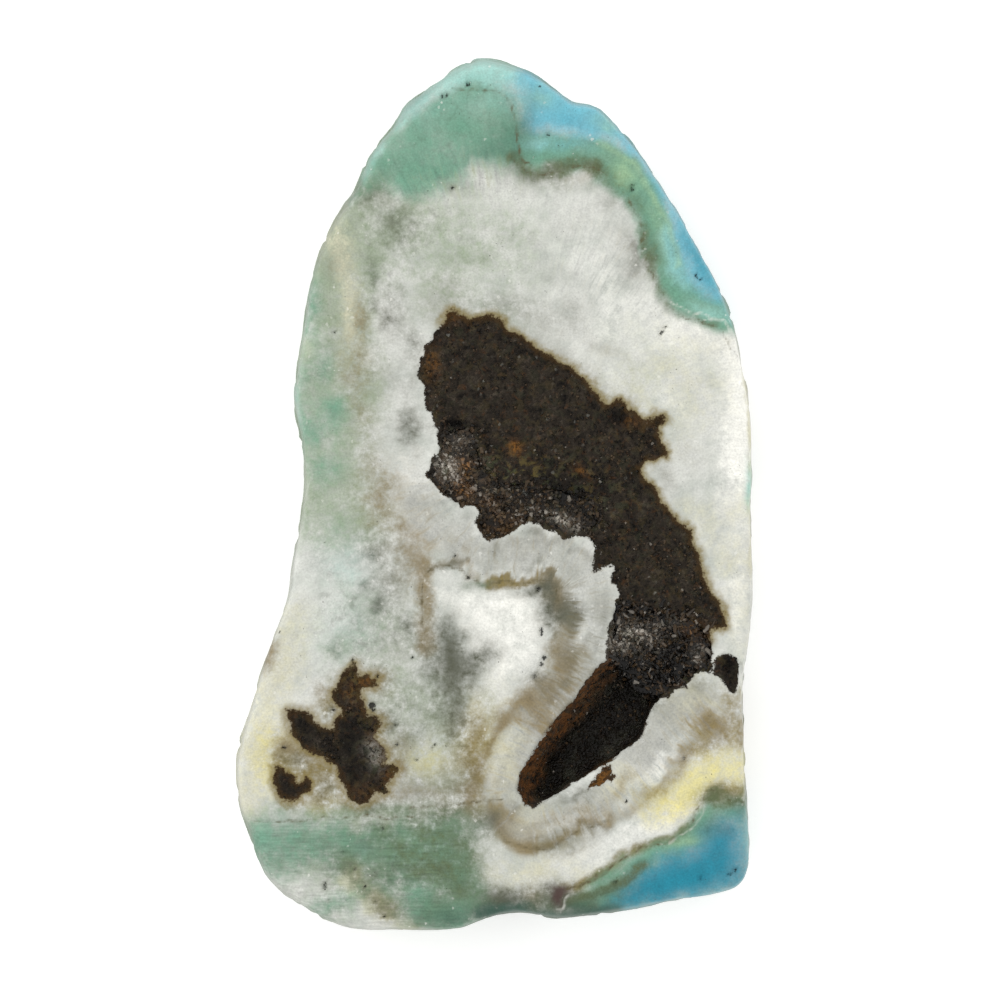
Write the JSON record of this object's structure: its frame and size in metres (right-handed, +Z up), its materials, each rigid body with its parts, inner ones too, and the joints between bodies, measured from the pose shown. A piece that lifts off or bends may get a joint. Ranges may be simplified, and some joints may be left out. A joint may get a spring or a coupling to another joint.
{
  "type": "rough hemimorphite",
  "caption": "Flat lapped slab of banded white, green and blue hemimorphite with a sunken brown matrix, a deep vug and crystal-lined hollows, lying on its sawn back.",
  "frame": {"origin": "on the sawn back, under the middle of the stone's box", "axes": "+Z up out of the lapped face, +Y along the stone towards its narrow end, +X to the right as seen looking down on the face"},
  "size_m": [0.0384, 0.0649, 0.008],
  "materials": {
    "stone": "lapped to a satin face, milky white, sage green and sky blue in bands, with rough dark brown matrix",
    "dark_druse": "small dark glassy crystals",
    "brown_druse": "sugary brown and pale crystals"
  },
  "bodies": {
    "root": {"hemimorphite_slab": "stone", "junction_druse": "dark_druse", "ledge_druse": "brown_druse"}
  },
  "joints": []
}
